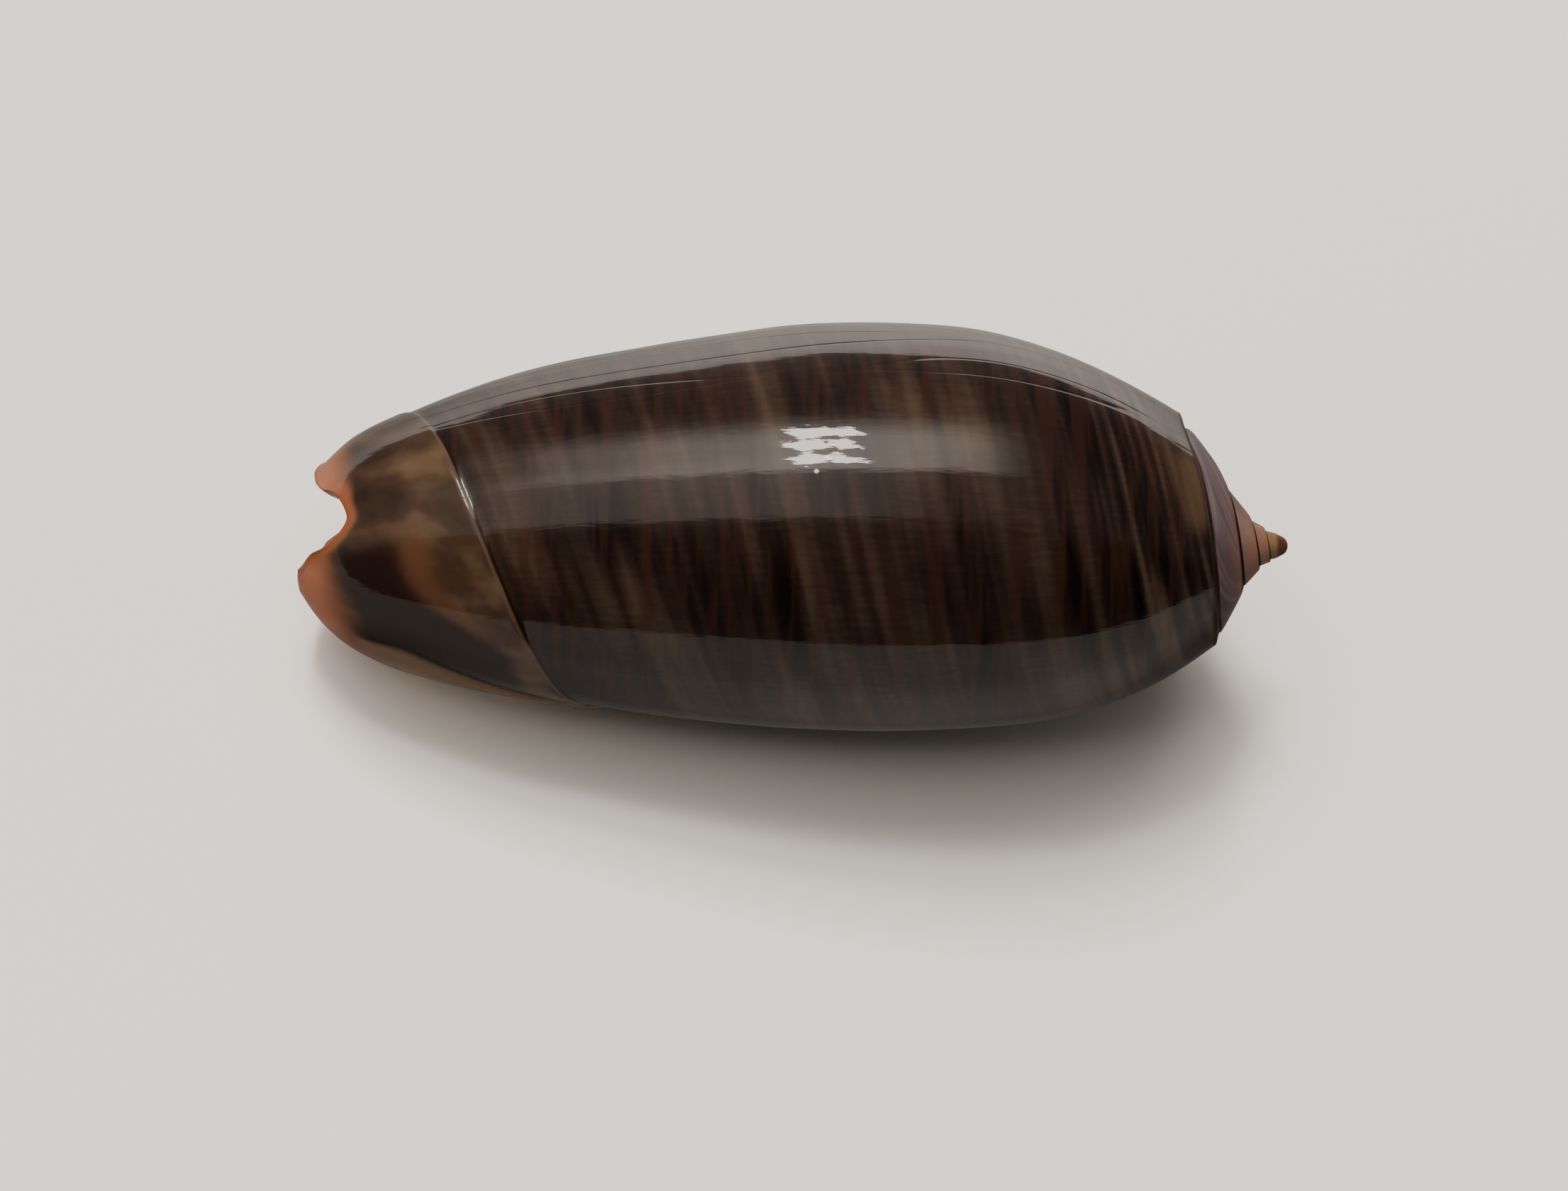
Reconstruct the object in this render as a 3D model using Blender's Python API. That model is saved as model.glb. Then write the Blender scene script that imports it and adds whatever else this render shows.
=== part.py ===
"""An olive shell: one grown piece, a right-handed spiral seven centimetres long.

The last whorl wraps nearly everything. It leaves a short concave spire at the
tip (+X), a channel along the suture, a long narrow aperture underneath, and a
notch at the other end, where the columella ends in a rounded tip.

Sizes are in millimetres and angles in degrees; the mesh is written in metres.
A "turn" is the angle about the coiling axis, counted back in growth from the
side of the outer lip (0 is +Y, 90 is up), so that each 360 is one whorl
earlier. Distances along the axis are counted from the notch end.
"""

import bpy
import bmesh
import numpy as np

MM = 0.001
LENGTH = 70.0

# Where the profile is drawn, from the notch end to the spire.
STATIONS = np.array([0, 1, 2, 4, 8, 12, 17, 23, 30, 36, 41, 47, 53, 56, 59, 62, 66.0])
# Radius of the last whorl above the lip, and half a whorl earlier.
LIP_SIDE = np.array([3.2, 4.9, 6.0, 7.75, 9.65, 11.25, 12.8, 13.97, 15.1, 15.9,
                     15.95, 15.7, 14.2, 12.9, 11.3, 9.6, 6.5])
FAR_SIDE = np.array([3.1, 4.6, 5.75, 7.28, 9.05, 10.06, 10.96, 11.86, 12.6, 13.05,
                     13.22, 13.0, 12.5, 11.8, 10.7, 9.1, 6.0])
LIP_SIDE_TURN = 20.0

# The columella and the inner wall, one whorl behind the lip.
WALL_STATIONS = np.array([1.5, 5, 10, 15, 20, 25, 30, 35, 40, 45, 50, 54, 58, 62.5])
WALL_RADIUS = np.array([1.9, 2.5, 3.7, 5.3, 7.1, 8.7, 10.0, 11.2, 11.9, 11.8, 11.3,
                        10.8, 10.0, 9.05])

LIP_TURN = -48.0
CAVITY_TURN = 198.0
SHELL_THICKNESS = 1.7

# The callus of the columella, raised beyond a groove on the far side.
CALLUS_PLACES = np.array([4, 7.5, 10, 12.5, 15.5, 20, 26, 34.0])
CALLUS_TURNS = np.array([163, 164, 169, 176, 184, 197, 214, 235.0])
GROOVE_DEPTH = 0.3

# The spire: depth of the shoulder below the tip, and how it shrinks.
SPIRE_DEPTH = 7.06
SPIRE_RATIO = 0.62
SPIRE_LEAN = 0.059
SHOULDER_DEPTHS = np.array([0, 1.0, 1.7, 2.7, 3.45, 4.4, 5.6, 7.06, 7.8, 13.0])
SHOULDER_RADII = np.array([0, 0.95, 1.38, 2.28, 3.32, 4.9, 7.05, 9.45, 10.2, 13.0])
RIM_DIP = 0.36
RIM_DIP_TURN = 46.0
CHANNEL_DROP = 1.1
CHANNEL_WIDTH = 0.45
# The callus over the spire swells beside the lip and dies away up the whorls.
CALLUS_RISE = 0.45
CALLUS_START = 380.0
CALLUS_FADE = 130.0

# The rounded tip: radius and depth of each ring.
TIP_SHAPE = ((0.75, 0.6), (0.42, 0.12))

# The raised band at the notch end, and the edge that the notch is cut in.
BELT_START = 7.2
BELT_PITCH = 27.2
BELT_STEP = 0.25
EDGE_TURNS = np.array([-48, -20, 20, 41, 60, 71, 79, 91, 96, 104, 110, 117, 130, 145,
                       200, 250, 312, 380, 450, 512.0])
EDGE_PLACES = np.array([5.5, 2.9, 1.3, 1.05, 1.3, 1.8, 2.75, 3.7, 3.9, 3.3, 2.5, 1.1,
                        0.4, 0.1, 0.1, 0.7, 3.4, 4.5, 4.3, 2.8])
EDGE_ROUND = 0.5

# How the shell lies, and how deep its resting spot is worn.
REST_ROLL = 4.0
REST_PITCH = 7.2
WORN_DEPTH = 0.22

COLUMNS = 56
SPIRE_ROWS = 4
LIP_ROWS = 2
BODY_ROWS = 15
BAND_ROWS = 8
SPIRE_WHORLS = 3


def ease(value, low, high):
    """Smooth step from 0 at low to 1 at high, level at both ends."""
    part = np.clip((value - low) / (high - low), 0, 1)
    return part * part * (3 - 2 * part)


def through(at, places, values):
    """Cubic curve through the values that never overshoots between them."""
    gap = np.diff(places)
    slope = np.diff(values) / gap
    product = slope[:-1] * slope[1:]
    total = np.where(product > 0, slope[:-1] + slope[1:], 1)
    inner = np.where(product > 0, 2 * product / total, 0)
    tangent = np.concatenate([slope[:1], inner, slope[-1:]])
    at = np.clip(at, places[0], places[-1])
    k = np.clip(np.searchsorted(places, at, side="right") - 1, 0, len(gap) - 1)
    u = (at - places[k]) / gap[k]
    rise = values[k] * (1 + 2 * u) * (1 - u) ** 2 + values[k + 1] * u * u * (3 - 2 * u)
    lean = tangent[k] * u * (1 - u) ** 2 - tangent[k + 1] * u * u * (1 - u)
    return rise + lean * gap[k]


def shrink(turn):
    return SPIRE_RATIO ** ((turn - LIP_SIDE_TURN) / 360)


def shoulder(turn):
    """Place and radius of the shoulder's rim, a spiral that closes on the tip and
    dips a little just behind the lip."""
    depth = SPIRE_DEPTH * shrink(turn)
    radius = through(depth, SHOULDER_DEPTHS, SHOULDER_RADII)
    lean = SPIRE_LEAN * radius * np.cos(np.radians(turn - LIP_SIDE_TURN))
    dip = RIM_DIP * np.exp(-(((turn - RIM_DIP_TURN) / 22) ** 2))
    return LENGTH - depth - lean - dip, radius


def suture(turn):
    """Bottom of the channel between a whorl and the one before it."""
    place, radius = shoulder(turn)
    return place + CHANNEL_WIDTH * shrink(turn), radius - CHANNEL_DROP * shrink(turn)


def whorl_radius(place, turn):
    """Radius of the surface that winds in, without the shoulder or the seat."""
    back = (turn - LIP_SIDE_TURN) / 180
    lip_side = np.log(through(place, STATIONS, LIP_SIDE))
    far_side = np.log(through(place, STATIONS, FAR_SIDE))
    under_lip = (LIP_TURN + 360 - LIP_SIDE_TURN) / 180
    wound = lip_side * (1 - under_lip) + far_side * under_lip
    turned_in = np.log(through(place, WALL_STATIONS, WALL_RADIUS)) - wound
    part = ease(turn, 205, LIP_TURN + 360)
    inside = 0.25 * np.maximum(turn - LIP_TURN - 360, 0) / 360
    return np.exp(lip_side * (1 - back) + far_side * back + turned_in * part - inside)


def covered(turn):
    """0 on the open last whorl, 1 where the lip closes over the surface."""
    return ease(turn, LIP_TURN + 290, LIP_TURN + 360)


def outer_radius(place, turn):
    """Radius of the surface, led to the shoulder's rim and to the seat of the lip."""
    rim_place, rim_radius = shoulder(turn)
    seat_place, seat_radius = suture(turn - 360)
    under = covered(turn)
    at_rim = rim_radius - whorl_radius(rim_place, turn)
    at_seat = seat_radius - whorl_radius(seat_place, turn)
    radius = whorl_radius(place, turn)
    radius = radius + (1 - under) * at_rim * np.exp(-np.abs(rim_place - place) / 3)
    return radius + under * at_seat * np.exp(-np.abs(seat_place - place) / 3)


def belt_place(turn):
    """Posterior edge of the raised band, kept just clear of the shell's edge."""
    line = BELT_START + BELT_PITCH * (turn - LIP_SIDE_TURN) / 360
    edge = through(turn, EDGE_TURNS, EDGE_PLACES) + 1.5
    return np.logaddexp(line * 1.5, edge * 1.5) / 1.5


def spire_rows(turn):
    """Rows from the suture over the shoulder to the next whorl's seat."""
    low_place, low_radius = suture(turn)
    rim_place, rim_radius = shoulder(turn)
    seat_place, seat_radius = suture(turn - 360)
    part = np.array([0, 0.25, 0.75, 1.0])[:, None]
    place = rim_place + (seat_place - rim_place) * part
    straight = rim_radius + (seat_radius - rim_radius) * part
    fade = np.exp(-np.maximum(turn - CALLUS_START, 0) / CALLUS_FADE)
    callus = CALLUS_RISE * fade * (1 - (2 * part - 1) ** 4)
    under = covered(turn)
    radius = under * (straight + callus) + (1 - under) * outer_radius(place, turn)
    radius[0] = rim_radius
    return np.vstack([low_place, place]), np.vstack([low_radius, radius])


def body_rows(turn):
    """Rows from the lip's seat to the shell's edge at the notch end."""
    seat_place, _ = suture(turn - 360)
    belt = belt_place(turn)
    edge = through(turn, EDGE_TURNS, EDGE_PLACES) + EDGE_ROUND * ease(-turn, -150, -125)
    first = np.array([0.5, 1.2])[:, None]
    start = seat_place - first
    count = np.arange(1, BODY_ROWS + 1)[:, None] / BODY_ROWS
    body = start[-1] + (belt - start[-1]) * count
    step = np.arange(1, BAND_ROWS + 1)[:, None] / BAND_ROWS
    band = belt + (edge - belt) * (1 - (1 - step) ** 1.5)
    place = np.vstack([start, body, band])
    raised = BELT_STEP * (ease(belt - place, 0.0, 0.9) - 0.5) * ease(-turn, -330, -290)
    line = through(place, CALLUS_PLACES, CALLUS_TURNS)
    short = np.clip((line - turn) / 16, -0.8, 9)
    groove = ease(short, -0.8, 0) * np.exp(-short) * ease(-place, -34, -22)
    return place, outer_radius(place, turn) + raised - GROOVE_DEPTH * groove


def build_mesh():
    """All points as (place, radius, turn), and the faces that close them."""
    points = []
    faces = []
    last = SPIRE_ROWS + LIP_ROWS + BODY_ROWS + BAND_ROWS
    deep = round(COLUMNS * CAVITY_TURN / 360)
    seat = SPIRE_ROWS + LIP_ROWS
    total = COLUMNS * (SPIRE_WHORLS + 1)

    def add(place, radius, turn):
        place, radius, turn = np.broadcast_arrays(place, radius, turn)
        first = sum(len(p) for p in points)
        points.append(np.stack([place, radius, turn], -1).reshape(-1, 3))
        return first + np.arange(place.size).reshape(place.shape)

    def sheet(ids):
        quads = np.stack([ids[:-1, :-1], ids[:-1, 1:], ids[1:, 1:], ids[1:, :-1]], -1)
        faces.extend(quads.reshape(-1, 4).tolist())

    def bridge(one, two):
        """Triangles between two rows of points of different counts."""
        i = 0
        j = 0
        while i < len(one) - 1 or j < len(two) - 1:
            step_one = (i + 1) * (len(two) - 1) <= (j + 1) * (len(one) - 1)
            if j == len(two) - 1 or (step_one and i < len(one) - 1):
                faces.append([one[i], one[i + 1], two[j]])
                i += 1
            else:
                faces.append([one[i], two[j + 1], two[j]])
                j += 1

    def dome(loop, centre, rings):
        """Rings of points from a closed loop to its centre."""
        for ring in rings:
            faces.extend(
                [a, b, d, c]
                for a, b, c, d in zip(loop, np.roll(loop, -1), ring, np.roll(ring, -1))
            )
            loop = ring
        faces.extend([a, b, centre] for a, b in zip(loop, np.roll(loop, -1)))

    turns = LIP_TURN + 360 * np.arange(total + 1) / COLUMNS
    spire_place, spire_radius = spire_rows(turns)
    body_place, body_radius = body_rows(turns[: COLUMNS + deep + 1])
    whorl = slice(0, COLUMNS + 1)

    outer_place = np.vstack([spire_place[:, whorl], body_place[:, whorl]])
    outer_r = np.vstack([spire_radius[:, whorl], body_radius[:, whorl]])
    outer = add(outer_place, outer_r, turns[whorl])
    outer[SPIRE_ROWS, COLUMNS] = outer[0, 0]
    sheet(outer)

    spire = np.zeros((SPIRE_ROWS + 1, total + 1), int)
    spire[:, whorl] = outer[: SPIRE_ROWS + 1]
    early = slice(COLUMNS + 1, total + 1)
    spire[:-1, early] = add(
        spire_place[:-1, early], spire_radius[:-1, early], turns[early]
    )
    spire[-1, COLUMNS:] = spire[0, : total + 1 - COLUMNS]
    sheet(spire[:, COLUMNS:])

    wall = np.zeros((last + 1 - seat, deep + 1), int)
    wall[:, 0] = outer[seat:, COLUMNS]
    hidden = slice(COLUMNS + 1, COLUMNS + deep + 1)
    wall[:, 1:] = add(
        body_place[LIP_ROWS - 1 :, hidden],
        body_radius[LIP_ROWS - 1 :, hidden],
        turns[hidden],
    )
    sheet(wall)

    mouth = slice(0, deep + 1)
    slope_place = np.gradient(outer_place[:, mouth], axis=0)
    slope_r = np.gradient(outer_r[:, mouth], axis=0)
    length = np.hypot(slope_place, slope_r)
    in_place = outer_place[:, mouth] - SHELL_THICKNESS * slope_r / length
    in_r = outer_r[:, mouth] + SHELL_THICKNESS * slope_place / length
    seat_place = body_place[LIP_ROWS - 1, COLUMNS : COLUMNS + deep + 1]
    seat_r = body_radius[LIP_ROWS - 1, COLUMNS : COLUMNS + deep + 1]
    free = np.clip(np.arange(last + 1) / (seat + 2), 0, 1)[:, None]
    in_place = seat_place + (in_place - seat_place) * free
    in_r = seat_r + (in_r - seat_r) * free
    floor = outer_radius(in_place, turns[mouth] + 360)
    close = 1 - 0.9 * ease(turns[mouth], 80, 150) * ease(-in_place, -30, -8)
    in_r = np.maximum(floor + (in_r - floor) * close, floor + 0.3 * free)
    inner = add(in_place, in_r, turns[mouth])
    inner[0] = wall[0]
    sheet(inner)

    def edge_path(grid):
        return np.concatenate([grid[:, 0], grid[-1, 1 : deep + 1]])

    outer_path = edge_path(outer)
    inner_path = edge_path(inner)
    every = np.vstack(points)
    one = every[outer_path]
    two = every[inner_path]
    middle = (one + two) / 2
    along = np.arange(len(middle))
    middle[:, 2] -= ease(-along, -last - 2, -last + 3) * np.degrees(
        EDGE_ROUND / middle[:, 1]
    )
    middle[:, 0] -= EDGE_ROUND * ease(along, last - 4, last + 2)
    middle = add(middle[:, 0], middle[:, 1], middle[:, 2])
    middle[0] = outer[SPIRE_ROWS + 1, COLUMNS]
    sheet(np.stack([outer_path, middle, inner_path]))

    bridge(list(inner[:, deep]), list(wall[:, deep]))

    every = np.vstack(points)
    foot = np.concatenate(
        [outer[last, deep:], wall[-1, 1:], [inner[last, deep], middle[-1]]]
    )
    rest = every[foot]
    across = np.stack([np.cos(np.radians(rest[:, 2])), np.sin(np.radians(rest[:, 2]))])
    flat = across * rest[:, 1]
    centre = flat.mean(1)

    def foot_ring(part, place):
        spot = centre[:, None] + (flat - centre[:, None]) * part
        turn = np.degrees(np.arctan2(spot[1], spot[0]))
        return add(rest[:, 0] * part + place * (1 - part), np.hypot(*spot), turn)

    middle_place = rest[:, 0].mean() - 0.8
    tip = foot_ring(0.0, middle_place)[:1]
    dome(foot, tip[0], [foot_ring(0.7, middle_place - 0.8)])

    crown = np.concatenate([spire[0, total - COLUMNS :], spire[1:-1, total]])
    crown_turn = np.vstack(points)[crown, 2]
    rings = [add(LENGTH - drop, radius, crown_turn) for radius, drop in TIP_SHAPE]
    dome(crown, add(LENGTH, 0.0, 0.0), rings)

    return np.vstack(points), faces


def build_shell():
    """Make the points, lay the shell on its aperture and wear its resting spot."""
    points, faces = build_mesh()
    place, radius, turn = points.T
    across = radius * np.cos(np.radians(turn))
    up = radius * np.sin(np.radians(turn))
    roll = np.radians(REST_ROLL)
    pitch = np.radians(REST_PITCH)
    across, up = (
        across * np.cos(roll) - up * np.sin(roll),
        across * np.sin(roll) + up * np.cos(roll),
    )
    along, up = (
        place * np.cos(pitch) - up * np.sin(pitch),
        place * np.sin(pitch) + up * np.cos(pitch),
    )
    spots = np.stack([along, across, up], 1)
    spots[:, 2] = np.maximum(spots[:, 2], spots[:, 2].min() + WORN_DEPTH)
    low = spots.min(0)
    high = spots.max(0)
    spots -= [(low[0] + high[0]) / 2, (low[1] + high[1]) / 2, low[2]]

    mesh = bpy.data.meshes.new("shell")
    mesh.from_pydata((spots * MM).tolist(), [], faces)
    shape = bmesh.new()
    shape.from_mesh(mesh)
    loose = [v for v in shape.verts if not v.link_faces]
    bmesh.ops.delete(shape, geom=loose, context="VERTS")
    bmesh.ops.recalc_face_normals(shape, faces=shape.faces)
    shape.to_mesh(mesh)
    shape.free()
    for face in mesh.polygons:
        face.use_smooth = True
    shell = bpy.data.objects.new("shell", mesh)
    bpy.context.scene.collection.objects.link(shell)
    return shell


def shell_material():
    material = bpy.data.materials.new("shell")
    material.use_nodes = True
    shader = material.node_tree.nodes["Principled BSDF"]
    shader.inputs["Base Color"].default_value = (0.035, 0.018, 0.009, 1)
    shader.inputs["Roughness"].default_value = 0.12
    return material


for old in list(bpy.data.objects):
    bpy.data.objects.remove(old)
build_shell().data.materials.append(shell_material())
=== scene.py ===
"""Dresses the olive shell: its fine form, its glossy brown surface and a plain studio.

The shell is drawn in its own axes first, in millimetres: a place along the
coiling axis from the notch end, a radius, and a turn, which is the angle about
the axis counted back in growth from the outer lip's side. Each 360 degrees of
turn is one whorl earlier. The finished points are laid as the shell rests.
"""

import bpy
import numpy as np
from mathutils import Matrix, Vector


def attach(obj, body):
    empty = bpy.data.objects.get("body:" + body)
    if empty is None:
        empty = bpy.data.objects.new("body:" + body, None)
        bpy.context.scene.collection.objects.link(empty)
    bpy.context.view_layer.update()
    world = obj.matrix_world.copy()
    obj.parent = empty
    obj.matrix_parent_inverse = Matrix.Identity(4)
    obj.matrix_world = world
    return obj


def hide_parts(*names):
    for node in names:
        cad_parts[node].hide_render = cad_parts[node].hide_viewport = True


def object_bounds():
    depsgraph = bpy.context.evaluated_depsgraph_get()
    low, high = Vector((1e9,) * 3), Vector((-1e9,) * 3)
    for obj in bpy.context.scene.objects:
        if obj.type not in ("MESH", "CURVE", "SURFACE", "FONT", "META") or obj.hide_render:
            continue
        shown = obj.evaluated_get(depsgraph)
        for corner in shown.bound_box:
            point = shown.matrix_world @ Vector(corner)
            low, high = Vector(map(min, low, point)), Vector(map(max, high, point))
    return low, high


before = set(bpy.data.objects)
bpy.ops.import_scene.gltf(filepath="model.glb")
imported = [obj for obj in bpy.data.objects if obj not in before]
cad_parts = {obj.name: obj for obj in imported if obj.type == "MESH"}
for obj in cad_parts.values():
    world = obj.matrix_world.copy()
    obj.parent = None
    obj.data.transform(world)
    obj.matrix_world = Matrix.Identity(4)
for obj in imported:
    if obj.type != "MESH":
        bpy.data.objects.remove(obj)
frame_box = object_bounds()

MM = 0.001
LENGTH = 70.0

# The same profile, spire, edge and resting place as the solid has. The belt's step
# is softer here, the callus line is drawn on to the spire and the tip is rounder.
STATIONS = np.array([0, 1, 2, 4, 8, 12, 17, 23, 30, 36, 41, 47, 53, 56, 59, 62, 66.0])
LIP_SIDE = np.array([3.2, 4.9, 6.0, 7.75, 9.65, 11.25, 12.8, 13.97, 15.1, 15.9,
                     15.95, 15.7, 14.2, 12.9, 11.3, 9.6, 6.5])
FAR_SIDE = np.array([3.1, 4.6, 5.75, 7.28, 9.05, 10.06, 10.96, 11.86, 12.6, 13.05,
                     13.22, 13.0, 12.5, 11.8, 10.7, 9.1, 6.0])
LIP_SIDE_TURN = 20.0
WALL_STATIONS = np.array([1.5, 5, 10, 15, 20, 25, 30, 35, 40, 45, 50, 54, 58, 62.5])
WALL_RADIUS = np.array([1.9, 2.5, 3.7, 5.3, 7.1, 8.7, 10.0, 11.2, 11.9, 11.8, 11.3,
                        10.8, 10.0, 9.05])
LIP_TURN = -48.0
CAVITY_TURN = 198.0
SHELL_THICKNESS = 1.7
CALLUS_PLACES = np.array([4, 7.5, 10, 12.5, 15.5, 20, 26, 34, 42, 50, 57, 63.0])
CALLUS_TURNS = np.array([163, 164, 169, 176, 184, 197, 214, 234, 250, 264, 284, 335.0])
GROOVE_DEPTH = 0.3
SPIRE_DEPTH = 7.06
SPIRE_RATIO = 0.62
SPIRE_LEAN = 0.059
SHOULDER_DEPTHS = np.array([0, 1.0, 1.7, 2.7, 3.45, 4.4, 5.6, 7.06, 7.8, 13.0])
SHOULDER_RADII = np.array([0, 0.95, 1.38, 2.28, 3.32, 4.9, 7.05, 9.45, 10.2, 13.0])
RIM_DIP = 0.36
RIM_DIP_TURN = 46.0
CHANNEL_DROP = 1.1
CHANNEL_WIDTH = 0.45
CALLUS_RISE = 0.45
CALLUS_START = 380.0
CALLUS_FADE = 130.0
TIP_SHAPE = ((0.9, 0.88), (0.75, 0.6), (0.61, 0.31), (0.42, 0.12), (0.2, 0.03))
BELT_START = 7.2
BELT_PITCH = 27.2
BELT_STEP = 0.2
BELT_LINE = 0.02
EDGE_TURNS = np.array([-48, -20, 20, 41, 60, 71, 79, 91, 96, 104, 110, 117, 130, 145,
                       200, 250, 312, 380, 450, 512.0])
EDGE_PLACES = np.array([5.5, 2.9, 1.3, 1.05, 1.3, 1.8, 2.75, 3.7, 3.9, 3.3, 2.5, 1.1,
                        0.4, 0.1, 0.1, 0.7, 3.4, 4.5, 4.3, 2.8])
EDGE_ROUND = 0.5
REST_ROLL = np.radians(4.0)
REST_PITCH = np.radians(7.2)
REST_SHIFT = np.array([34.688, 1.401, -7.122])

# Places where the smoothed profiles are worked out, and how often they are eased.
PROFILE_PLACES = np.arange(0, 66.1, 0.25)
PROFILE_PASSES = 160

# How finely the shell is drawn.
COLUMNS = 240
CHANNEL_ROWS = 7
STRIP_ROWS = 13
LIP_ROWS = 6
BODY_ROWS = 92
BAND_ROWS = 38
SPIRE_WHORLS = 3

# Lines and widths of the colours at the notch end, in mm against degrees of turn.
STREAK_TURNS = np.array([90, 110, 123, 134, 140, 155.0])
STREAK_PLACES = np.array([8.7, 8.9, 9.4, 10.7, 12.4, 16.5])
WARM_TURNS = np.array([-48, 20, 60, 79, 91, 108, 117, 130, 157, 200, 312.0])
WARM_WIDTHS = np.array([1.5, 2.4, 3.0, 1.7, 1.0, 1.0, 1.9, 3.1, 4.6, 5.0, 3.0])
# Dark flecks: place, turn, half width in mm and half length in degrees.
FLECKS = (
    (54.6, 72, 0.75, 17),
    (54.2, 127, 0.8, 20),
    (56.8, 120, 0.65, 22),
    (58.6, 135, 0.4, 26),
    (34.6, 126, 0.7, 22),
    (37.6, 168, 0.8, 16),
    (32.6, 96, 0.5, 14),
    (48.2, 150, 0.7, 14),
    (22.0, 100, 1.3, 10),
    (59.4, 104, 0.9, 17),
)
# The stripes start from a line beside the rim that climbs with the turn.
CREST_PLACE = 64.2
CREST_PITCH = 13.0
# A pale speck on the back: mm of a whole whorl there, and the mm round it and along.
SPECK_WHORL = 97.4
SPECK_ROUND = 24.46
SPECK_PLACE = 36.5
# Numbers kept at a face corner, and where two of them are.
VALUES = 15
BELOW_RIM = 5
INSIDE = 6

# Low relief that the solid leaves out.
MIDDLE_RADIUS = 13.5
RIDGE_SPACING = 1.8
RIDGE_HEIGHT = 0.05
FOLD_SPACING = 2.7
FOLD_HEIGHT = 0.28

# The camera looks at a point in the shell's own axes, from above them.
VIEW_PLACE = 34.3
VIEW_DEPTH = 3.52
VIEW_TILT = np.radians(70.0)
VIEW_DISTANCE = 300.0
VIEW_LENS = 97.2

# The window, in metres: its way from the shell, its columns, rows and brightness.
WINDOW_WAY = np.array([-0.178, 0.415, 0.892])
WINDOW_SIDE = np.array([0.978, 0.0, 0.209])
WINDOW_DISTANCE = 1.2
PANE_COLUMNS = ((-0.03, 0.113), (0.06, 0.054))
PANE_HEIGHT = 0.12
PANE_SPACING = 0.165
PANE_BRIGHTNESS = 60
LAMP_COLOUR = (1.0, 0.93, 0.85)

# The reflector's brightness against the place across the shell, in metres.
REFLECTOR_PLACES = (
    -1, -0.08, -0.03, -0.022, -0.016, -0.01, 0, 0.018, 0.03, 0.05, 0.08, 0.16, 1
)
REFLECTOR_BRIGHTNESS = (
    1.1, 1.1, 0.8, 0.44, 0.15, 0.06, 0.06, 0.2, 0.42, 1.05, 1.8, 2.4, 2.5
)


def ease(value, low, high):
    """Smooth step: 3 p squared less 2 p cubed, p the part of the way from low to high."""
    part = np.clip((value - low) / (high - low), 0, 1)
    return part * part * (3 - 2 * part)


def through(at, places, values):
    """Cubic curve through the values that never overshoots between them.

    Each span is the Hermite cubic of its two ends, with the slope at a point
    the harmonic mean of the slopes on its two sides, or 0 at a turning point.
    """
    gap = np.diff(places)
    slope = np.diff(values) / gap
    product = slope[:-1] * slope[1:]
    total = np.where(product > 0, slope[:-1] + slope[1:], 1)
    inner = np.where(product > 0, 2 * product / total, 0)
    tangent = np.concatenate([slope[:1], inner, slope[-1:]])
    at = np.clip(at, places[0], places[-1])
    k = np.clip(np.searchsorted(places, at, side="right") - 1, 0, len(gap) - 1)
    u = (at - places[k]) / gap[k]
    rise = values[k] * (1 + 2 * u) * (1 - u) ** 2 + values[k + 1] * u * u * (3 - 2 * u)
    lean = tangent[k] * u * (1 - u) ** 2 - tangent[k + 1] * u * u * (1 - u)
    return rise + lean * gap[k]


def smoothed(values):
    """The profile drawn through the values with its corners eased out: each pass
    puts a point a quarter of the way to each neighbour, and the notch end is left."""
    drawn = through(PROFILE_PLACES, STATIONS, values)
    eased = drawn.copy()
    for _ in range(PROFILE_PASSES):
        eased[1:-1] = (eased[:-2] + 2 * eased[1:-1] + eased[2:]) / 4
    return drawn + (eased - drawn) * ease(PROFILE_PLACES, 5, 13)


def shrink(turn):
    """Size of a whorl against the last: the spire ratio to the power of the whorls."""
    return SPIRE_RATIO ** ((turn - LIP_SIDE_TURN) / 360)


def shoulder(turn):
    """Rim of the shoulder: its depth below the tip shrinks by a ratio each whorl,
    and its radius is read from that depth. A cosine of the turn leans the spire,
    and the rim dips in a bell curve just behind the lip."""
    depth = SPIRE_DEPTH * shrink(turn)
    radius = through(depth, SHOULDER_DEPTHS, SHOULDER_RADII)
    lean = SPIRE_LEAN * radius * np.cos(np.radians(turn - LIP_SIDE_TURN))
    dip = RIM_DIP * np.exp(-(((turn - RIM_DIP_TURN) / 22) ** 2))
    return LENGTH - depth - lean - dip, radius


def suture(turn):
    """Bottom of the channel, beside the rim and below it, in scale with the whorl."""
    place, radius = shoulder(turn)
    return place + CHANNEL_WIDTH * shrink(turn), radius - CHANNEL_DROP * shrink(turn)


def whorl_radius(place, turn):
    """Radius of the winding surface.

    The logarithm of the radius goes in a straight line with the turn from the
    lip side's profile to the far side's, so it winds in by a ratio each half
    turn, and past the far side it is drawn on to the columella's profile.
    """
    back = (turn - LIP_SIDE_TURN) / 180
    lip_side = np.log(np.interp(place, PROFILE_PLACES, smoothed(LIP_SIDE)))
    far_side = np.log(np.interp(place, PROFILE_PLACES, smoothed(FAR_SIDE)))
    under_lip = (LIP_TURN + 360 - LIP_SIDE_TURN) / 180
    wound = lip_side * (1 - under_lip) + far_side * under_lip
    turned_in = np.log(through(place, WALL_STATIONS, WALL_RADIUS)) - wound
    part = ease(turn, 205, LIP_TURN + 360)
    inside = 0.25 * np.maximum(turn - LIP_TURN - 360, 0) / 360
    return np.exp(lip_side * (1 - back) + far_side * back + turned_in * part - inside)


def covered(turn):
    """0 on the open last whorl, 1 where the lip closes over the surface."""
    return ease(turn, LIP_TURN + 290, LIP_TURN + 360)


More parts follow.
